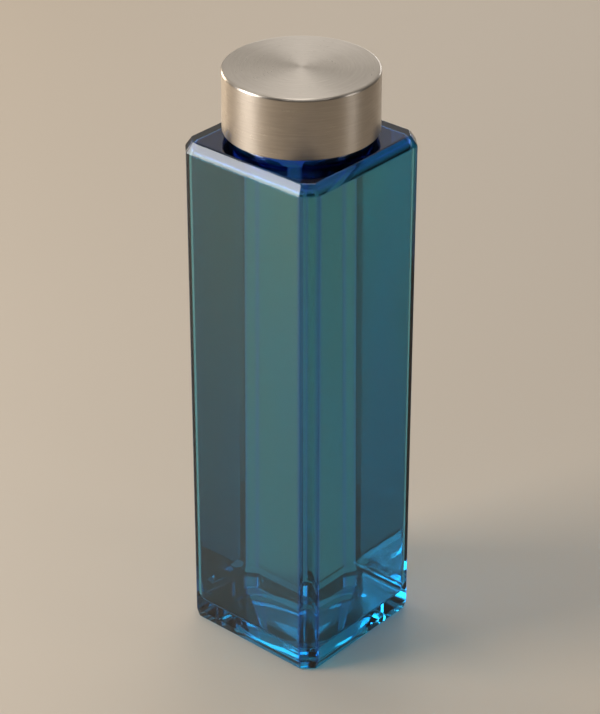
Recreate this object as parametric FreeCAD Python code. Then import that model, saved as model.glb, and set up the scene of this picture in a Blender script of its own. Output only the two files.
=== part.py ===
import FreeCAD, Part
import math
import os

V = FreeCAD.Vector
AXIS = V(0, 0, 1)

# Square glass body, standing on z = 0 with its middle on the z axis (mm)
body_width = 76.0           # across the flat sides
corner_leg = 6.0            # leg of each flat upright corner
shoulder_height = 246.5     # flat top of the shoulder
heel_height = 5.0           # sloped band above the base
heel_inset = 1.2
bevel_height = 4.7          # sloped band below the shoulder
bevel_inset = 3.0
edge_radius = 1.2           # every outside edge of the body
wall = 4.0
base_thickness = 9.5
shoulder_thickness = 4.5
inside_radius = 2.5         # every inside edge of the hollow
push_up_radius = 25.0       # round hollow under the base
push_up_depth = 2.0

# Neck and its mouth
bore_radius = 25.5
neck_wall = 3.5
neck_root_radius = 2.5      # where the neck meets the shoulder
neck_foot_radius = 2.0      # where the bore meets the hollow
lip_radius = 1.2

# Right-hand screw thread, the same on the neck and in the cap
thread_pitch = 5.0
thread_turns = 1.5
thread_height = 1.5
thread_root_width = 2.6
thread_tip_width = 1.0
thread_end_depth = 4.0      # middle of the thread's upper end, below the lip
thread_fade = 30.0          # degrees over which each end runs out
thread_sink = 0.5           # foot of the ridge inside its wall
thread_dip = 0.15           # share of its height by which a faded end dips into its wall
thread_step = 15.0          # degrees between the sections of a ridge

# Cap: drawn steel shell, moulded liner, soft ring
cap_gap = 4.2               # shoulder to the lower rim of the shell
cap_height = 27.6
shell_thickness = 0.7
shell_edge_radius = 1.3     # around the flat top
rim_radius = 0.25           # lower rim of the shell
liner_wall = 2.25
liner_top_thickness = 1.8
liner_edge_radius = 0.8     # around the liner's top, clear of the shell's corner
liner_rise = 0.6            # liner's lower end above the shell's rim
liner_lead_in = 0.8
rib_width = 1.2             # ring under the liner's top that centres the soft ring
rib_drop = 1.5
seal_thickness = 2.0
seal_edge_radius = 0.5

# Fits
glue_gap = 0.1              # shell to liner
thread_play = 0.4           # crest of one thread to the wall of the other piece
flank_play = 0.3            # along the axis, between the two threads
seal_play = 0.1             # soft ring to the lip
ring_play = 0.2             # soft ring to the liner's wall and rib
rib_play = 0.7              # rib to the bore of the neck

# Heights and radii that follow from them
cap_bottom = shoulder_height + cap_gap
cap_top = cap_bottom + cap_height
shell_ceiling = cap_top - shell_thickness
liner_top = shell_ceiling - glue_gap
liner_ceiling = liner_top - liner_top_thickness
liner_bottom = cap_bottom + liner_rise
seal_bottom = liner_ceiling - seal_thickness
lip = seal_bottom - seal_play
hollow_top = shoulder_height - shoulder_thickness
neck_radius = bore_radius + neck_wall
crest_radius = neck_radius + thread_height
liner_bore = crest_radius + thread_play
liner_radius = liner_bore + liner_wall
shell_bore = liner_radius + glue_gap
cap_radius = shell_bore + shell_thickness
rib_radius = bore_radius - rib_play
thread_start = lip - thread_end_depth - thread_turns * thread_pitch

offset_tolerance = 0.0001


def octagon(inset, z):
    """Outline of the body at height z, moved inward by inset on all eight sides."""
    half = body_width / 2 - inset
    flat = half - corner_leg + inset * (2 - math.sqrt(2))
    points = []
    for quarter in range(4):
        turn = FreeCAD.Rotation(AXIS, 90 * quarter)
        points.append(turn.multVec(V(flat, -half, z)))
        points.append(turn.multVec(V(half, -flat, z)))
    return Part.makePolygon(points + points[:1])


def rounded_stack(levels, radius):
    """Solid through octagons given as (inset, z), with every edge rounded to radius."""
    sharp = Part.makeLoft([octagon(inset, z) for inset, z in levels], True, True)
    core = sharp.makeOffsetShape(-radius, offset_tolerance, join=2)
    return core.makeOffsetShape(radius, offset_tolerance, join=0)


def corner(r, z, radius, start, end):
    """Arc about (r, z) in the x-z half plane from start to end degrees, with its two ends."""
    places = []
    for angle in (start, (start + end) / 2, end):
        a = math.radians(angle)
        places.append((r + radius * math.cos(a), z + radius * math.sin(a)))
    curve = Part.Arc(*[V(x, 0, height) for x, height in places]).toShape()
    return places[0], curve, places[2]


def turned(*steps):
    """Solid of revolution whose outline runs through points (r, z) and corners in order."""
    edges = []
    starts = []
    end = None
    for step in steps:
        is_corner = len(step) == 3
        start = step[0] if is_corner else step
        if end is not None:
            edges.append(Part.makeLine(V(end[0], 0, end[1]), V(start[0], 0, start[1])))
        if is_corner:
            edges.append(step[1])
        starts.append(start)
        end = step[2] if is_corner else step
    edges.append(Part.makeLine(V(end[0], 0, end[1]), V(starts[0][0], 0, starts[0][1])))
    return Part.Face(Part.Wire(edges)).revolve(V(0, 0, 0), AXIS, 360)


def thread_ridge(wall_radius, outward, start_height):
    """Ridge that climbs anticlockwise on a wall; outward is 1 on the neck, -1 in the cap."""
    slope = (thread_root_width - thread_tip_width) / 2 / thread_height
    total = 360 * thread_turns
    count = max(4, round(total / thread_step))
    foot = wall_radius - outward * thread_sink
    foot_half = thread_root_width / 2 + slope * thread_sink
    sections = []
    for i in range(count + 1):
        angle = total * i / count
        near_end = min(1, min(angle, total - angle) / thread_fade)
        grown = 0.5 - 0.5 * math.cos(math.pi * near_end)
        height = thread_height * ((1 + thread_dip) * grown - thread_dip)
        tip = wall_radius + outward * height
        tip_half = thread_root_width / 2 - slope * height
        z = start_height + thread_pitch * angle / 360
        outline = ((foot, z - foot_half), (tip, z - tip_half), (tip, z + tip_half), (foot, z + foot_half))
        turn = FreeCAD.Rotation(AXIS, angle)
        points = [turn.multVec(V(r, 0, h)) for r, h in outline]
        sections.append(Part.makePolygon(points + points[:1]))
    return Part.makeLoft(sections, True, False)


def bottle_body():
    """One moulded piece of glass: body, shoulder, neck with its thread, and a push-up base."""
    outside = rounded_stack(((heel_inset, 0), (0, heel_height), (0, shoulder_height - bevel_height),
                             (bevel_inset, shoulder_height)), edge_radius)
    hollow = rounded_stack(((wall, base_thickness), (wall, hollow_top)), inside_radius)

    root = neck_radius + neck_root_radius
    neck = turned((0, hollow_top), (root, hollow_top),
                  corner(root, shoulder_height + neck_root_radius, neck_root_radius, 270, 180),
                  corner(neck_radius - lip_radius, lip - lip_radius, lip_radius, 0, 90),
                  (0, lip))

    foot = bore_radius + neck_foot_radius
    mouth = bore_radius + lip_radius
    bore = turned((0, hollow_top - inside_radius), (foot, hollow_top - inside_radius),
                  corner(foot, hollow_top + neck_foot_radius, neck_foot_radius, 270, 180),
                  corner(mouth, lip - lip_radius, lip_radius, 180, 90),
                  (mouth, lip + lip_radius), (0, lip + lip_radius))

    ball = (push_up_radius ** 2 + push_up_depth ** 2) / (2 * push_up_depth)
    push_up = Part.makeSphere(ball, V(0, 0, push_up_depth - ball))

    ridge = thread_ridge(neck_radius, 1, thread_start)
    return outside.fuse([neck, ridge]).cut([hollow, bore, push_up])


def cap_shell():
    """Cup drawn from steel sheet, with a flat top, a straight side and a rounded rim."""
    inner_edge_radius = max(rim_radius, shell_edge_radius - shell_thickness)
    return turned(
        (0, shell_ceiling),
        corner(shell_bore - inner_edge_radius, shell_ceiling - inner_edge_radius,
               inner_edge_radius, 90, 0),
        corner(shell_bore + rim_radius, cap_bottom + rim_radius, rim_radius, 180, 270),
        corner(cap_radius - rim_radius, cap_bottom + rim_radius, rim_radius, 270, 360),
        corner(cap_radius - shell_edge_radius, cap_top - shell_edge_radius, shell_edge_radius, 0, 90),
        (0, cap_top))


def cap_liner():
    """Moulded cup glued into the shell, with the cap's thread and a rib that centres the ring."""
    rib_bore = rib_radius - rib_width
    rib_bottom = liner_ceiling - rib_drop
    cup = turned(
        (0, liner_ceiling), (rib_bore, liner_ceiling), (rib_bore, rib_bottom),
        (rib_radius, rib_bottom), (rib_radius, liner_ceiling), (liner_bore, liner_ceiling),
        (liner_bore, liner_bottom + liner_lead_in), (liner_bore + liner_lead_in, liner_bottom),
        (liner_radius, liner_bottom),
        corner(liner_radius - liner_edge_radius, liner_top - liner_edge_radius, liner_edge_radius, 0, 90),
        (0, liner_top))

    # The cap's thread lies under the neck's, so turning it home pulls the cap down. At any radius
    # that both ridges reach, half of their two widths together is the same.
    overlap_share = (thread_height + thread_play) / (2 * thread_height)
    half_widths = thread_root_width - (thread_root_width - thread_tip_width) * overlap_share
    return cup.fuse(thread_ridge(liner_bore, -1, thread_start - half_widths - flank_play))


def seal_ring():
    """Soft ring between the liner's top and the lip of the neck."""
    inner = rib_radius + ring_play + seal_edge_radius
    outer = liner_bore - ring_play - seal_edge_radius
    low = seal_bottom + seal_edge_radius
    high = liner_ceiling - seal_edge_radius
    return turned(corner(inner, low, seal_edge_radius, 180, 270),
                  corner(outer, low, seal_edge_radius, 270, 360),
                  corner(outer, high, seal_edge_radius, 0, 90),
                  corner(inner, high, seal_edge_radius, 90, 180))


os.makedirs("parts", exist_ok=True)
for make_piece in (bottle_body, cap_shell, cap_liner, seal_ring):
    shape = make_piece()
    if len(shape.Solids) != 1 or not shape.isValid():
        raise RuntimeError(make_piece.__name__ + " is not one sound solid")
    shape.Solids[0].exportStep("parts/" + make_piece.__name__ + ".step")
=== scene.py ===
# %% [markdown]
# # A square glass bottle with a brushed-steel screw cap
# The CAD frame holds four solids: the glass, the cap's steel shell, its plastic liner and the soft
# ring. This lesson rebuilds each of them as a clean mesh with rounded edges, fills the bottle with
# water as in the photograph, and gives every surface a finish.

# %% Load the frame
import math

import bpy
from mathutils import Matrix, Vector


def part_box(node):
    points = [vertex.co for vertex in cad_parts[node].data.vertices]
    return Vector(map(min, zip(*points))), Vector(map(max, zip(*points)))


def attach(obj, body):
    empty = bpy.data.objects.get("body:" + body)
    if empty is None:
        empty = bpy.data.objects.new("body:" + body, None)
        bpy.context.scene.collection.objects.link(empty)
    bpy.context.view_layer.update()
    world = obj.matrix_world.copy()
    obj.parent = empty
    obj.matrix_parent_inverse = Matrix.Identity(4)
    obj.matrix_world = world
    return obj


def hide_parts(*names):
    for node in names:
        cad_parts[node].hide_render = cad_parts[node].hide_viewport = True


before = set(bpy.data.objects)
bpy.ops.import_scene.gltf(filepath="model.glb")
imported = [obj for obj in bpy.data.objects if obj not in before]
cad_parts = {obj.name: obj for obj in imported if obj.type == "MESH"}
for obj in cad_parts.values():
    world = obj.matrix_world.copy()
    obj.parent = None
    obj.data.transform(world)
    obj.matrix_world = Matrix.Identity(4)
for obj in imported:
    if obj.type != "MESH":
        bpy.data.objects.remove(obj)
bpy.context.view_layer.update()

mm = 0.001
scene = bpy.context.scene
scene.view_settings.view_transform = "Standard"
bpy.ops.object.select_all(action="DESELECT")

# %% [markdown]
# ## Camera
# The photograph was taken from above with a long lens. Its place was worked out from the straight
# edges of the body. The long side of the picture takes the whole sensor width, so a focal length
# in pixels becomes millimetres by that ratio.

# %% Camera at the photograph's angle
picture_height = 714
focal_pixels = 2531.0
camera_azimuth = math.radians(41.15)
camera_elevation = math.radians(30.07)
camera_distance = 1132.8 * mm
aim_height = 137.4 * mm
aim_sideways = -0.6 * mm

right = Vector((math.cos(camera_azimuth), math.sin(camera_azimuth), 0))
backward = Vector((math.sin(camera_azimuth) * math.cos(camera_elevation),
                   -math.cos(camera_azimuth) * math.cos(camera_elevation),
                   math.sin(camera_elevation)))
aim = Vector((0, 0, aim_height)) + right * aim_sideways
bpy.ops.object.camera_add(location=aim + backward * camera_distance)
camera = bpy.context.object
camera.rotation_euler = (math.pi / 2 - camera_elevation, 0, camera_azimuth)
camera.data.sensor_width = 36
camera.data.lens = focal_pixels / picture_height * camera.data.sensor_width
scene.camera = camera
print("lens", round(camera.data.lens, 1), "mm")

# %% [markdown]
# ## Small helpers
# Operators act on whatever is selected, so each helper starts from nothing selected. Faces and
# edges are then picked by where they are.

# %% Selecting and applying
def edit(piece, mode="EDGE"):
    """Open one piece in edit mode with nothing selected in it."""
    bpy.ops.object.select_all(action="DESELECT")
    piece.select_set(True)
    bpy.context.view_layer.objects.active = piece
    bpy.ops.object.mode_set(mode="EDIT")
    bpy.ops.mesh.select_mode(type=mode)
    bpy.ops.mesh.select_all(action="DESELECT")
    bpy.ops.object.mode_set(mode="OBJECT")
    return piece.data


def pick(items, wanted):
    """Select the vertices, edges or faces that wanted() accepts, and go back to edit mode."""
    count = 0
    for item in items:
        item.select = wanted(item)
        count += item.select
    bpy.ops.object.mode_set(mode="EDIT")
    return count


def done():
    bpy.ops.object.mode_set(mode="OBJECT")


def apply_modifier(piece, kind, **settings):
    bpy.ops.object.select_all(action="DESELECT")
    piece.select_set(True)
    bpy.context.view_layer.objects.active = piece
    modifier = piece.modifiers.new(kind.lower(), kind)
    for key, value in settings.items():
        setattr(modifier, key, value)
    bpy.ops.object.modifier_apply(modifier=modifier.name)


def combine(piece, other, operation):
    """Boolean of piece with other, which is used up."""
    apply_modifier(piece, "BOOLEAN", operation=operation, object=other, solver="EXACT")
    bpy.data.objects.remove(other, do_unlink=True)


def drop_slivers(piece):
    """Dissolve the faces without area that a boolean can leave."""
    edit(piece, "VERT")
    bpy.ops.object.mode_set(mode="EDIT")
    bpy.ops.mesh.select_all(action="SELECT")
    bpy.ops.mesh.dissolve_degenerate(threshold=0.001 * mm)
    done()


def smooth(piece, angle=28):
    """Smooth shading that keeps large flat faces flat."""
    bpy.ops.object.select_all(action="DESELECT")
    piece.select_set(True)
    bpy.context.view_layer.objects.active = piece
    bpy.ops.object.shade_smooth_by_angle(angle=math.radians(angle))
    apply_modifier(piece, "WEIGHTED_NORMAL", mode="FACE_AREA", weight=100, keep_sharp=True)


# %% [markdown]
# ## Turned pieces
# Neck, cap, liner and ring are all round. Each starts as one corner of a plane, which is extruded
# along half of the section and then spun once around the upright axis. Where an outline runs along
# the axis, the spin leaves a bare edge, which is deleted.

# %% Drawing an outline and spinning it
round_steps = 128


def fillet(r, z, radius, start, end, steps=6):
    """Points of an arc about (r, z), in millimetres and degrees."""
    points = []
    for i in range(steps + 1):
        a = math.radians(start + (end - start) * i / steps)
        points.append((r + radius * math.cos(a), z + radius * math.sin(a)))
    return points


def spin_outline(name, outline, closed=True, steps=round_steps):
    """Spin an outline of (r, z) points in millimetres around the z axis."""
    places = [Vector((r * mm, 0, z * mm)) for r, z in outline]
    if closed:
        places.append(places[0])
    bpy.ops.object.select_all(action="DESELECT")
    bpy.ops.mesh.primitive_plane_add(size=mm)
    piece = bpy.context.object
    piece.name = name
    piece.data.name = name
    mesh = edit(piece, "VERT")
    pick(mesh.vertices, lambda v: v.index > 0)
    bpy.ops.mesh.delete(type="VERT")
    bpy.ops.mesh.select_all(action="SELECT")
    done()
    mesh.vertices[0].co = places[0]
    bpy.ops.object.mode_set(mode="EDIT")
    for here, there in zip(places, places[1:]):
        bpy.ops.mesh.extrude_region_move(TRANSFORM_OT_translate={"value": there - here})
    bpy.ops.mesh.select_all(action="SELECT")
    bpy.ops.mesh.remove_doubles(threshold=0.001 * mm)
    bpy.ops.mesh.spin(steps=steps, angle=2 * math.pi, center=(0, 0, 0), axis=(0, 0, 1))
    bpy.ops.mesh.select_all(action="SELECT")
    bpy.ops.mesh.remove_doubles(threshold=0.001 * mm)
    bpy.ops.mesh.delete_loose()
    bpy.ops.mesh.select_all(action="SELECT")
    bpy.ops.mesh.normals_make_consistent(inside=False)
    done()
    return piece


# %% [markdown]
# ## Square blocks
# The outside of the bottle and its hollow are both square blocks with flat corners. A cube has its
# four upright edges bevelled in one step. On the outside the end faces are then inset and pushed out
# at the same time, which gives the sloped heel and shoulder. Last, all edges are rounded.

# %% A block with flat corners
body_width = 76.0
corner_leg = 6.0


def corner_block(name, inset, low, high):
    """Upright block of the body's outline, moved in by inset, between two heights."""
    width = body_width - 2 * inset
    leg = corner_leg - inset * (2 - math.sqrt(2))
    bpy.ops.object.select_all(action="DESELECT")
    bpy.ops.mesh.primitive_cube_add(size=1, location=(0, 0, (low + high) / 2 * mm),
                                    scale=(width * mm, width * mm, (high - low) * mm))
    piece = bpy.context.object
    piece.name = name
    piece.data.name = name
    bpy.ops.object.transform_apply(location=True, rotation=False, scale=True)
    mesh = edit(piece)

    def upright(edge):
        a, b = (mesh.vertices[i].co for i in edge.vertices)
        return abs(a.z - b.z) > mm
    pick(mesh.edges, upright)
    bpy.ops.mesh.bevel(offset=leg * mm, offset_type="OFFSET", segments=1, affect="EDGES")
    done()
    return piece


def round_edges(piece, radius, segments=4, least=6):
    """Round every edge that turns by more than least degrees to one radius.

    The Bevel modifier cuts by a width, and an edge needs radius * tan(turn / 2) of it, so each edge
    carries that tangent as its bevel weight.
    """
    mesh = piece.data
    sides = {}
    for face in mesh.polygons:
        for key in face.edge_keys:
            sides.setdefault(key, []).append(face.normal)
    weights = mesh.attributes.new("bevel_weight_edge", "FLOAT", "EDGE")
    for edge in mesh.edges:
        turn = sides[edge.key][0].angle(sides[edge.key][1])
        weights.data[edge.index].value = math.tan(turn / 2) if turn > math.radians(least) else 0
    apply_modifier(piece, "BEVEL", width=radius * mm, segments=segments, limit_method="WEIGHT")


def push_end(piece, upward, inset, height):
    """Inset the top or bottom face and push it out by height, leaving a sloped band."""
    mesh = edit(piece, "FACE")
    pick(mesh.polygons, lambda face: face.normal.z * upward > 0.9)
    bpy.ops.mesh.inset(thickness=inset * mm, depth=height * mm, use_even_offset=True)
    done()


# %% [markdown]
# ## The glass
# One moulded piece: body, shoulder, neck with its screw thread, lip, hollow and a push-up under the
# base. It is put together the way a mould does it, an outside and an inside, so booleans suit it.

# %% Sizes of the glass
lip_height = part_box("bottle_body")[1].z / mm
heel_height, heel_inset = 5.0, 1.2
bevel_height, bevel_inset = 4.7, 3.0
shoulder = 246.5
edge_radius = 1.2
wall = 4.0
floor_height = 9.5
hollow_top = 242.0
hollow_radius = 2.5
bore_radius = 25.5
neck_radius = 29.0
lip_round = 1.2
neck_root = 2.5
neck_foot = 2.0
push_up_radius = 25.0
push_up_depth = 2.0
push_up_rings = 12

# How far the tools of the booleans reach past the surface that they cut.
bore_overlap = 4.0
mouth_overlap = 3.0
push_up_overlap = 4.0
push_up_reach = 6.0

glass = corner_block("bottle_glass", 0, heel_height, shoulder - bevel_height)
push_end(glass, 1, bevel_inset, bevel_height)
push_end(glass, -1, heel_inset, heel_height)
round_edges(glass, edge_radius)

hollow = corner_block("hollow", wall, floor_height, hollow_top)
round_edges(hollow, hollow_radius, segments=6)

neck = spin_outline("neck", [(0, hollow_top), (neck_radius + neck_root, hollow_top)]
                    + fillet(neck_radius + neck_root, shoulder + neck_root, neck_root, 270, 180)
                    + fillet(neck_radius - lip_round, lip_height - lip_round, lip_round, 0, 90)
                    + [(0, lip_height)])
bore_foot = bore_radius + neck_foot
bore_end = hollow_top - bore_overlap
bore_top = lip_height + mouth_overlap
bore = spin_outline("bore", [(0, bore_end), (bore_foot, bore_end)]
                    + fillet(bore_foot, hollow_top + neck_foot, neck_foot, 270, 180)
                    + fillet(bore_radius + lip_round, lip_height - lip_round, lip_round, 180, 90)
                    + [(bore_radius + lip_round, bore_top), (0, bore_top)])
print("glass blocks", len(glass.data.polygons), len(hollow.data.polygons))

# %% [markdown]
# ## The screw thread
# The ridge on the neck is one and a half turns of a right-hand helix. A small section is carried
# round by the Screw modifier. Both ends are then drawn into the wall, so that they run out as they
# do in a mould, and closed.

# %% A ridge for the neck or for the cap
thread_pitch = 5.0
thread_turns = 1.5
thread_height = 1.5
thread_end_depth = 4.0
thread_start = lip_height - thread_end_depth - thread_pitch * thread_turns
root_half, tip_half = 1.3, 0.5
thread_slope = (root_half - tip_half) / thread_height
thread_fade = 30.0
thread_sink = 0.4
thread_dip = 0.15
steps_per_turn = 96


def thread_ridge(name, wall_radius, outward, start):
    """Screw a four-sided section round the axis; outward is 1 on the neck and -1 in the cap."""
    foot = wall_radius - outward * thread_sink
    foot_half = root_half + thread_slope * thread_sink
    tip = wall_radius + outward * thread_height
    section = [(foot, start - foot_half), (tip, start - tip_half),
               (foot, start + foot_half), (tip, start + tip_half)]
    bpy.ops.object.select_all(action="DESELECT")
    bpy.ops.mesh.primitive_plane_add(size=mm)
    ridge = bpy.context.object
    ridge.name = name
    for vertex, (r, z) in zip(ridge.data.vertices, section):
        vertex.co = Vector((r * mm, 0, z * mm))
    edit(ridge, "FACE")
    pick(ridge.data.polygons, lambda face: True)
    bpy.ops.mesh.delete(type="ONLY_FACE")
    done()
    rings = int(steps_per_turn * thread_turns)
    apply_modifier(ridge, "SCREW", axis="Z", angle=2 * math.pi * thread_turns, steps=rings,
                   render_steps=rings, screw_offset=thread_pitch * thread_turns * mm)
    for vertex in ridge.data.vertices:
        ring, corner = divmod(vertex.index, 4)
        if corner % 2:
            degrees = 360 / steps_per_turn * min(ring, rings - ring)
            grown = 0.5 - 0.5 * math.cos(math.pi * min(1, degrees / thread_fade))
            height = thread_height * ((1 + thread_dip) * grown - thread_dip)
            radius = (wall_radius + outward * height) * mm
            flat = Vector((vertex.co.x, vertex.co.y, 0)).normalized() * radius
            vertex.co = Vector((flat.x, flat.y, vertex.co.z))
    ends = (set(range(4)), set(range(rings * 4, rings * 4 + 4)))
    for end in ends:
        mesh = edit(ridge, "EDGE")
        pick(mesh.edges, lambda edge: set(edge.vertices) <= end)
        bpy.ops.mesh.edge_face_add()
        done()
    bpy.ops.object.mode_set(mode="EDIT")
    bpy.ops.mesh.select_all(action="SELECT")
    bpy.ops.mesh.normals_make_consistent(inside=False)
    done()
    return ridge


# %% Put the glass together
combine(neck, thread_ridge("neck_thread", neck_radius, 1, thread_start), "UNION")
combine(glass, neck, "UNION")
water = hollow.copy()
water.data = hollow.data.copy()
water.name = "water_fill"
water.data.name = "water_fill"
scene.collection.objects.link(water)
combine(glass, hollow, "DIFFERENCE")
combine(glass, bore, "DIFFERENCE")
ball_radius = (push_up_radius ** 2 + push_up_depth ** 2) / (2 * push_up_depth)
ball_angle = math.degrees(math.asin((push_up_radius + push_up_overlap) / ball_radius))
push_up = spin_outline("push_up", [(0, push_up_depth - push_up_reach)]
                       + fillet(0, push_up_depth - ball_radius, ball_radius,
                                90 - ball_angle, 90, push_up_rings))
combine(glass, push_up, "DIFFERENCE")
drop_slivers(glass)
smooth(glass)
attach(glass, "bottle")
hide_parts("bottle_body")
print("glass", len(glass.data.polygons), "faces", tuple(round(v, 4) for v in glass.dimensions))

# %% [markdown]
# ## The water
# In the photograph the back corner of the bottle shows twice, once through each front side, and far
# from the middle. Water bends the view about that much and air doesn't, so the model has its water
# too. It reaches a hair into the glass, because a gap would act as a second pane.

# %% Water up to the neck
water_grow = 0.05
water_level = 256.0
water_dip = 0.5
water_overlap = 6.0
apply_modifier(water, "DISPLACE", strength=water_grow * mm, mid_level=0)
column_end = hollow_top - water_overlap
column = spin_outline("column", [(0, column_end), (bore_foot, column_end)]
                      + fillet(bore_foot + water_grow, hollow_top + neck_foot, neck_foot, 270, 180)
                      + [(bore_radius + water_grow, water_level), (0, water_level - water_dip)])
combine(water, column, "UNION")
smooth(water)
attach(water, "bottle")
print("water", len(water.data.polygons), "faces")

# %% [markdown]
# ## The steel cap
# The shell is a cup drawn from sheet steel. One outline holds its outside and its inside: a flat
# top, a rounded edge around it, a straight side and a softened lower rim.

# %% Draw the cup
shell_low, shell_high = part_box("cap_shell")
cap_radius = shell_high.x / mm
cap_bottom, cap_top = shell_low.z / mm, shell_high.z / mm
sheet = 0.7
cap_edge = 1.3
rim_round = 0.25
cap_steps = 192
corner_r, corner_z = cap_radius - cap_edge, cap_top - cap_edge
rim_z = cap_bottom + rim_round
cap_steel = spin_outline("cap_steel", [(0, cap_top)]
                         + fillet(corner_r, corner_z, cap_edge, 90, 0, 8)
                         + fillet(cap_radius - rim_round, rim_z, rim_round, 0, -90, 4)
                         + fillet(cap_radius - sheet + rim_round, rim_z, rim_round, -90, -180, 4)
                         + fillet(corner_r, corner_z, cap_edge - sheet, 0, 90, 6)
                         + [(0, cap_top - sheet)], steps=cap_steps)
smooth(cap_steel, 30)
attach(cap_steel, "cap")
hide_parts("cap_shell")
print("cap shell", len(cap_steel.data.polygons), "faces, radius", round(cap_radius, 2))

# %% [markdown]
# ## The liner
# The moulded cup inside the shell. It holds the cap's thread, and a rib under its top keeps the
# soft ring in the middle.

# %% Mould the liner
liner_low, liner_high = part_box("cap_liner")
liner_radius = liner_high.x / mm
liner_bottom, liner_top = liner_low.z / mm, liner_high.z / mm
liner_bore = 30.9
liner_top_thickness = 1.8
ceiling = liner_top - liner_top_thickness
rib_outer, rib_inner = 24.8, 23.6
rib_drop = 1.5
rib_bottom = ceiling - rib_drop
lead_in = 0.8
liner_edge = 0.8
soft = 0.25
cap_liner = spin_outline("liner_plastic_cup", [(0, ceiling), (rib_inner, ceiling)]
                         + fillet(rib_inner + soft, rib_bottom + soft, soft, 180, 270, 3)
                         + fillet(rib_outer - soft, rib_bottom + soft, soft, 270, 360, 3)
                         + [(rib_outer, ceiling), (liner_bore, ceiling),
                            (liner_bore, liner_bottom + lead_in), (liner_bore + lead_in, liner_bottom)]
                         + fillet(liner_radius - soft, liner_bottom + soft, soft, 270, 360, 3)
                         + fillet(liner_radius - liner_edge, liner_top - liner_edge, liner_edge, 0, 90, 4)
                         + [(0, liner_top)])
flank_play = 0.3
cap_thread_drop = 2 * root_half - thread_slope * (liner_bore - neck_radius) + flank_play
combine(cap_liner, thread_ridge("cap_thread", liner_bore, -1, thread_start - cap_thread_drop), "UNION")
smooth(cap_liner, 35)
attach(cap_liner, "cap")
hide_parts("cap_liner")
print("liner", len(cap_liner.data.polygons), "faces")

# %% [markdown]
# ## The soft ring
# A flat silicone ring with rounded edges, which lies on the lip of the neck.

# %% Mould the ring
ring_low, ring_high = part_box("seal_ring")
ring_outer = ring_high.x / mm
ring_play = 0.2
ring_inner = rib_outer + ring_play
ring_bottom, ring_top = ring_low.z / mm, ring_high.z / mm
ring_round = 0.5
seal = spin_outline("silicone_ring",
                    fillet(ring_inner + ring_round, ring_bottom + ring_round, ring_round, 180, 270, 4)
                    + fillet(ring_outer - ring_round, ring_bottom + ring_round, ring_round, 270, 360, 4)
                    + fillet(ring_outer - ring_round, ring_top - ring_round, ring_round, 0, 90, 4)
                    + fillet(ring_inner + ring_round, ring_top - ring_round, ring_round, 90, 180, 4))
smooth(seal, 35)
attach(seal, "seal")
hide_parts("seal_ring")
print("ring", len(seal.data.polygons), "faces")

# %% [markdown]
# ## Finishes
# Each finish is a node tree that reads Object coordinates, so its pattern has a real size and stays
# on the piece when the cap turns. A few helpers keep the node code short.

# %% Node helpers
def add(tree, kind, values=None, **settings):
    """Add a node, set its properties, then the values of its inputs by name."""
    node = tree.nodes.new(kind)
    for key, value in settings.items():
        setattr(node, key, value)
    for key, value in (values or {}).items():
        node.inputs[key].default_value = value
    return node


def new_material(name, **values):
    """A material whose Principled shader has these plain values on its own sockets."""
    material = bpy.data.materials.new(name)
    material.use_nodes = True
    tree = material.node_tree
    surface = tree.nodes["Principled BSDF"]
    for key, value in values.items():
        surface.inputs[key.replace("_", " ")].default_value = value
    return material, tree, surface


def scaled(tree, value, low, high, start=0.0, end=1.0):
    """Stretch a value between start and end to run from low to high."""
    node = add(tree, "ShaderNodeMapRange", {"From Min": start, "From Max": end,
                                            "To Min": low, "To Max": high})
    tree.links.new(value, node.inputs["Value"])
    return node.outputs["Result"]


def combined(tree, operation, *values):
    """One Math node on one or two values."""
    node = add(tree, "ShaderNodeMath", operation=operation)
    for value, socket in zip(values, node.inputs):
        tree.links.new(value, socket)
    return node.outputs["Value"]


def blended(tree, mask, low, high):
    """A colour that runs from low, a plain colour or another node's, to a plain colour with the mask.

    A Mix node has sockets of one name for each kind of data, so its colours are found by number.
    """
    node = add(tree, "ShaderNodeMix", data_type="RGBA")
    if isinstance(low, tuple):
        node.inputs[6].default_value = (*low, 1)
    else:
        tree.links.new(low, node.inputs[6])
    node.inputs[7].default_value = (*high, 1)
    tree.links.new(mask, node.inputs["Factor"])
    return node.outputs[2]


def bumped(tree, height, surface, strength, distance):
    """Turn a height into the shader's normal."""
    node = add(tree, "ShaderNodeBump", {"Strength": strength, "Distance": distance})
    tree.links.new(height, node.inputs["Height"])
    tree.links.new(node.outputs["Normal"], surface.inputs["Normal"])


def give(piece, material):
    piece.data.materials.clear()
    piece.data.materials.append(material)
    print(piece.name, "has", material.name)


# %% [markdown]
# ## Two effects that are shared
# Hands leave faint marks on the glass and on the steel, and both moulded pieces have a fine grain.
# Each effect is a node group, built once and placed in the materials with its own scale. A group
# gives out masks only, and each material decides what the mask changes.

# %% A group with named sockets
def new_group(name, outputs):
    group = bpy.data.node_groups.new(name, "ShaderNodeTree")
    group.interface.new_socket("Place", in_out="INPUT", socket_type="NodeSocketVector")
    group.interface.new_socket("Scale", in_out="INPUT", socket_type="NodeSocketFloat")
    for output in outputs:
        group.interface.new_socket(output, in_out="OUTPUT", socket_type="NodeSocketFloat")
    return group, add(group, "NodeGroupInput"), add(group, "NodeGroupOutput")


def place_group(tree, group, scale):
    """Put a group in a material, on Object coordinates."""
    node = add(tree, "ShaderNodeGroup", node_tree=group)
    node.inputs["Scale"].default_value = scale
    place = add(tree, "ShaderNodeTexCoord")
    tree.links.new(place.outputs["Object"], node.inputs["Place"])
    return node


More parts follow.
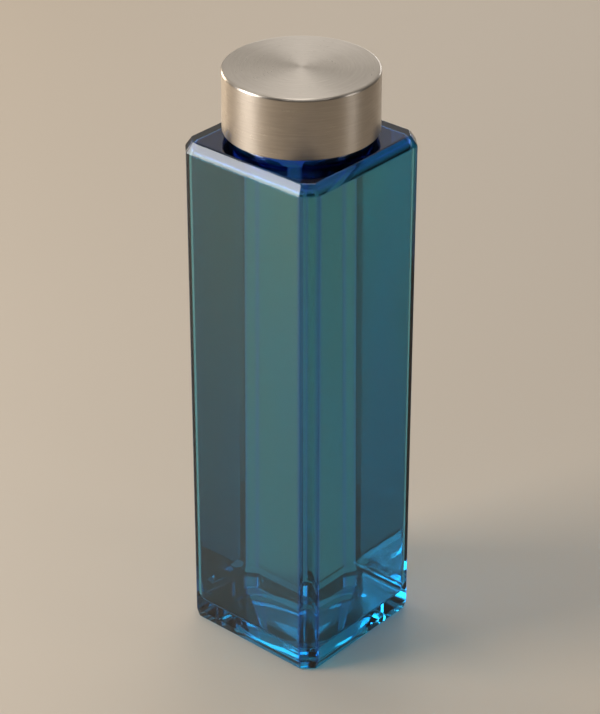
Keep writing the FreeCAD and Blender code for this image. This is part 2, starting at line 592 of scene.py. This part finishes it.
# %% Handling marks
def handling_marks():
    """Soft patches, broken up by finer ones: 0 is clean, 1 is a mark."""
    group, given, result = new_group("handling_marks", ["Marks"])
    patches = add(group, "ShaderNodeTexNoise", {"Detail": 3, "Roughness": 0.6})
    group.links.new(given.outputs["Place"], patches.inputs["Vector"])
    group.links.new(given.outputs["Scale"], patches.inputs["Scale"])
    group.links.new(scaled(group, patches.outputs["Fac"], 0, 1, 0.48, 0.78), result.inputs["Marks"])
    return group


marks_group = handling_marks()


# %% Moulded grain
def moulded_grain():
    """Height is the pebbled skin that an etched mould leaves; Tone is a slow change of shade."""
    group, given, result = new_group("moulded_grain", ["Height", "Tone"])
    pebbles = add(group, "ShaderNodeTexVoronoi", feature="SMOOTH_F1")
    group.links.new(given.outputs["Place"], pebbles.inputs["Vector"])
    group.links.new(given.outputs["Scale"], pebbles.inputs["Scale"])
    group.links.new(pebbles.outputs["Distance"], result.inputs["Height"])
    coarse = add(group, "ShaderNodeMath", operation="MULTIPLY")
    coarse.inputs[1].default_value = 0.08
    group.links.new(given.outputs["Scale"], coarse.inputs[0])
    clouds = add(group, "ShaderNodeTexNoise", {"Detail": 4})
    group.links.new(given.outputs["Place"], clouds.inputs["Vector"])
    group.links.new(coarse.outputs["Value"], clouds.inputs["Scale"])
    group.links.new(scaled(group, clouds.outputs["Fac"], 0, 1, 0.3, 0.7), result.inputs["Tone"])
    return group


grain_group = moulded_grain()
print("groups", marks_group.name, grain_group.name)

# %% [markdown]
# ## Blue glass
# Part of the tint lies at the surface, cloudy as a dipped colour is: bluer towards the base and
# greener higher up. The navy on the shoulder and along the upright edges is painted shade: it stands
# in for the darkening that long paths through the thick glass and the water give there. An edge is
# found by its reach: the sum of the two distances from the middle and the larger of them is greatest
# there. The rest of the tint lies in the depth, where the volume absorbs red most of all. The moulded
# walls are never quite flat, so a slow ripple, drawn out upwards, bends what is seen through them. For
# shadow rays the surface lets the lamps through, so the floor gets a coloured shadow and not a black one.

# %% Let the lamps through
def let_lamps_through(tree, surface, colour):
    """Shadow rays pass and keep this colour at each surface; all others meet the real shader."""
    ray = add(tree, "ShaderNodeLightPath")
    clear = add(tree, "ShaderNodeBsdfTransparent", {"Color": (*colour, 1)})
    mix = add(tree, "ShaderNodeMixShader")
    tree.links.new(ray.outputs["Is Shadow Ray"], mix.inputs["Fac"])
    tree.links.new(surface.outputs["BSDF"], mix.inputs[1])
    tree.links.new(clear.outputs["BSDF"], mix.inputs[2])
    tree.links.new(mix.outputs["Shader"], tree.nodes["Material Output"].inputs["Surface"])


# %% Blue glass
base_blue = (0.15, 0.52, 0.70)
upper_green = (0.27, 0.55, 0.56)
# Painted shade: the navy laid on the shoulder and along the upright edges, where long paths through the
# glass look dark.
painted_navy_shade = (0.16, 0.25, 0.97)
shadow_blue = (0.26, 0.54, 0.66)


def blue_glass():
    material, tree, surface = new_material("blue_glass", Transmission_Weight=1, IOR=1.5)
    marks = place_group(tree, marks_group, 30)
    tree.links.new(scaled(tree, marks.outputs["Marks"], 0.0, 0.045), surface.inputs["Roughness"])

    place = add(tree, "ShaderNodeTexCoord")
    drawn_out = add(tree, "ShaderNodeMapping", {"Scale": (1, 1, 0.3)})
    ripple = add(tree, "ShaderNodeTexNoise", {"Scale": 26, "Detail": 1})
    tree.links.new(place.outputs["Object"], drawn_out.inputs["Vector"])
    tree.links.new(drawn_out.outputs["Vector"], ripple.inputs["Vector"])
    bumped(tree, ripple.outputs["Fac"], surface, 0.08, 0.001)

    clouds = add(tree, "ShaderNodeTexNoise", {"Scale": 34, "Detail": 2})
    tree.links.new(drawn_out.outputs["Vector"], clouds.inputs["Vector"])
    axes = add(tree, "ShaderNodeSeparateXYZ")
    tree.links.new(place.outputs["Object"], axes.inputs["Vector"])
    rise = scaled(tree, axes.outputs["Z"], 0.0, 0.6, 0.0, shoulder * mm)
    cloudy = scaled(tree, clouds.outputs["Fac"], 0.0, 0.4, 0.35, 0.65)
    body_tint = blended(tree, combined(tree, "ADD", rise, cloudy), base_blue, upper_green)
    # Painted shade: a mask for the shoulder and a narrow band along each upright edge, painted navy in
    # place of the darkening that long paths through the glass give.
    at_shoulder = scaled(tree, axes.outputs["Z"], 0.0, 1.0, (shoulder - 6) * mm, (shoulder - 2) * mm)
    x = combined(tree, "ABSOLUTE", axes.outputs["X"])
    y = combined(tree, "ABSOLUTE", axes.outputs["Y"])
    reach = combined(tree, "ADD", combined(tree, "ADD", x, y), combined(tree, "MAXIMUM", x, y))
    edge_reach = 1.5 * body_width - corner_leg
    band_start, band_full = edge_reach - 1.6, edge_reach - 0.6
    at_edge = scaled(tree, reach, 0.0, 0.8, band_start * mm, band_full * mm)
    painted_shade_mask = combined(tree, "MAXIMUM", at_shoulder, at_edge)
    tree.links.new(blended(tree, painted_shade_mask, body_tint, painted_navy_shade), surface.inputs["Base Color"])

    depth = add(tree, "ShaderNodeVolumeAbsorption", {"Color": (0.10, 0.80, 0.92, 1), "Density": 42})
    tree.links.new(depth.outputs["Volume"], tree.nodes["Material Output"].inputs["Volume"])
    let_lamps_through(tree, surface, shadow_blue)
    return material


give(glass, blue_glass())

# %% [markdown]
# ## Clear water
# Water has no colour at this depth, only its own bend of light, which is weaker than that of glass.
# A little slow unevenness at its skin stands for the water's own movement.

# %% Clear water
def clear_water():
    material, tree, surface = new_material("clear_water", Base_Color=(1, 1, 1, 1), Roughness=0,
                                           Transmission_Weight=1, IOR=1.333)
    place = add(tree, "ShaderNodeTexCoord")
    swell = add(tree, "ShaderNodeTexNoise", {"Scale": 12, "Detail": 0})
    tree.links.new(place.outputs["Object"], swell.inputs["Vector"])
    bumped(tree, swell.outputs["Fac"], surface, 0.02, 0.001)
    let_lamps_through(tree, surface, (1, 1, 1))
    return material


give(water, clear_water())

# %% [markdown]
# ## Brushed steel
# The cap was brushed while it turned, so the scratches run in circles on the top and around the
# side. A distance that runs out over the top and then down the side gives one pattern for both. Light
# spreads across the scratches and not along them, which is what draws the two bright fans on the top.

# %% Brushed steel
steel_dark = (0.51, 0.45, 0.385)
steel_pale = (0.58, 0.52, 0.45)


def brushed_steel():
    material, tree, surface = new_material("brushed_cap_steel", Metallic=1, Anisotropic=0.75,
                                           Anisotropic_Rotation=0.25)
    links = tree.links
    place = add(tree, "ShaderNodeTexCoord")
    axes = add(tree, "ShaderNodeSeparateXYZ")
    flat = add(tree, "ShaderNodeCombineXYZ")
    links.new(place.outputs["Object"], axes.inputs["Vector"])
    links.new(axes.outputs["X"], flat.inputs["X"])
    links.new(axes.outputs["Y"], flat.inputs["Y"])
    radius = add(tree, "ShaderNodeVectorMath", operation="LENGTH")
    links.new(flat.outputs["Vector"], radius.inputs[0])
    across = combined(tree, "SUBTRACT", radius.outputs["Value"], axes.outputs["Z"])

    heading = add(tree, "ShaderNodeVectorMath", operation="NORMALIZE")
    links.new(flat.outputs["Vector"], heading.inputs[0])
    around = add(tree, "ShaderNodeSeparateXYZ")
    links.new(heading.outputs["Vector"], around.inputs["Vector"])
    scratch_place = add(tree, "ShaderNodeCombineXYZ")
    links.new(around.outputs["X"], scratch_place.inputs["X"])
    links.new(around.outputs["Y"], scratch_place.inputs["Y"])
    links.new(across, scratch_place.inputs["Z"])

    scratches = []
    for along, fineness in ((1.5, 1500), (6, 4000)):
        stretch = add(tree, "ShaderNodeMapping", {"Scale": (along, along, fineness)})
        noise = add(tree, "ShaderNodeTexNoise", {"Scale": 1, "Detail": 2})
        links.new(scratch_place.outputs["Vector"], stretch.inputs["Vector"])
        links.new(stretch.outputs["Vector"], noise.inputs["Vector"])
        scratches.append(noise.outputs["Fac"])
    scratch = scaled(tree, combined(tree, "MULTIPLY", *scratches), 0, 1, 0.12, 0.42)

    links.new(blended(tree, scratch, steel_dark, steel_pale), surface.inputs["Base Color"])
    marks = place_group(tree, marks_group, 45)
    rough = combined(tree, "ADD", scaled(tree, scratch, 0.33, 0.27),
                     scaled(tree, marks.outputs["Marks"], 0.0, 0.08))
    links.new(rough, surface.inputs["Roughness"])
    bumped(tree, scratch, surface, 0.06, 0.0001)
    tangent = add(tree, "ShaderNodeTangent", direction_type="RADIAL", axis="Z")
    links.new(tangent.outputs["Tangent"], surface.inputs["Tangent"])
    return material


give(cap_steel, brushed_steel())

# %% [markdown]
# ## Liner plastic and soft ring
# Both are moulded and both are hidden while the cap is on, so the photograph doesn't show them.
# Black plastic with a fine etched skin and milky silicone are what such caps usually have.

# %% Moulded pieces
def moulded(name, dark, pale, rough_low, rough_high, pebbles, relief, **values):
    material, tree, surface = new_material(name, **values)
    grain = place_group(tree, grain_group, pebbles)
    tree.links.new(blended(tree, grain.outputs["Tone"], dark, pale), surface.inputs["Base Color"])
    tree.links.new(scaled(tree, grain.outputs["Tone"], rough_low, rough_high),
                   surface.inputs["Roughness"])
    bumped(tree, grain.outputs["Height"], surface, relief, 0.0001)
    return material


give(cap_liner, moulded("liner_plastic", (0.022, 0.022, 0.025), (0.04, 0.04, 0.044),
                        0.42, 0.56, 2600, 0.35))
give(seal, moulded("seal_silicone", (0.66, 0.68, 0.68), (0.76, 0.78, 0.78),
                   0.34, 0.46, 1500, 0.1, Subsurface_Weight=0.3, Subsurface_Scale=0.002))

# %% [markdown]
# ## Floor
# A plain pale floor, a hair below the base so that the two faces don't lie in one plane.

# %% Floor
bpy.ops.object.select_all(action="DESELECT")
bpy.ops.mesh.primitive_plane_add(size=6, location=(0, 0, -0.2 * mm))
floor = bpy.context.object
floor.name = "floor"
give(floor, new_material("pale_floor", Base_Color=(0.54, 0.46, 0.37, 1), Roughness=0.6)[0])

# %% [markdown]
# ## Light
# Glass and steel show what stands around them more than they show light. A tall soft window on the
# left draws the white line along the left shoulder and throws the shadow to the right. A second one
# behind warms the left edge of the cap, and a weak one on the right gives it a second band. A narrow
# strip overhead and one further forward draw the bright line around the cap's top edge, and a low one
# behind makes the heel of the glass light up. The rest is the glow of the room, which is lighter above
# and behind the bottle than behind the camera.

# %% Soft lamps
toward = Vector((backward.x, backward.y, 0)).normalized()
middle = Vector((0, 0, 150 * mm))


def softbox(name, sideways, forward, up, distance, size, power, colour=(1, 1, 1)):
    """Rectangular lamp in a direction seen from the camera: to its right, towards it, and up."""
    way = (right * sideways + toward * forward + Vector((0, 0, up))).normalized()
    bpy.ops.object.select_all(action="DESELECT")
    bpy.ops.object.light_add(type="AREA", location=middle + way * distance)
    lamp = bpy.context.object
    lamp.name = name
    lamp.data.shape = "RECTANGLE"
    lamp.data.size, lamp.data.size_y = size
    lamp.data.energy = power
    lamp.data.color = colour
    lamp.rotation_euler = (-way).to_track_quat("-Z", "Y").to_euler()
    print(name, power, "W")


softbox("window_left", -0.91, 0.17, 0.38, 1.05, (0.5, 0.7), 10.5)
softbox("window_behind", -0.68, -0.73, 0.12, 1.2, (0.4, 0.45), 4, (1, 0.87, 0.7))
softbox("card_right", 0.95, 0.3, 0.25, 1.1, (0.3, 0.7), 1.2)
softbox("strip_above", 0, -0.3, 0.95, 1.1, (0.3, 1.2), 1.6)
softbox("strip_forward", 0.1, 0.55, 0.83, 1.1, (1.0, 0.22), 1.0)
softbox("strip_behind", 0.3, -0.93, 0.2, 1.2, (1.0, 0.22), 1.8)

# %% Room
world = bpy.data.worlds.new("studio")
scene.world = world
world.use_nodes = True
room = world.node_tree
direction = add(room, "ShaderNodeTexCoord")
glow = add(room, "ShaderNodeVectorMath", operation="DOT_PRODUCT")
glow.inputs[1].default_value = (Vector((0, 0, 0.7)) - toward * 0.7 - right * 0.2).normalized()
room.links.new(direction.outputs["Generated"], glow.inputs[0])
level = scaled(room, glow.outputs["Value"], 0.05, 0.62, 0.2, 1)
background = room.nodes["Background"]
background.inputs["Color"].default_value = (1, 0.96, 0.9, 1)
room.links.new(level, background.inputs["Strength"])
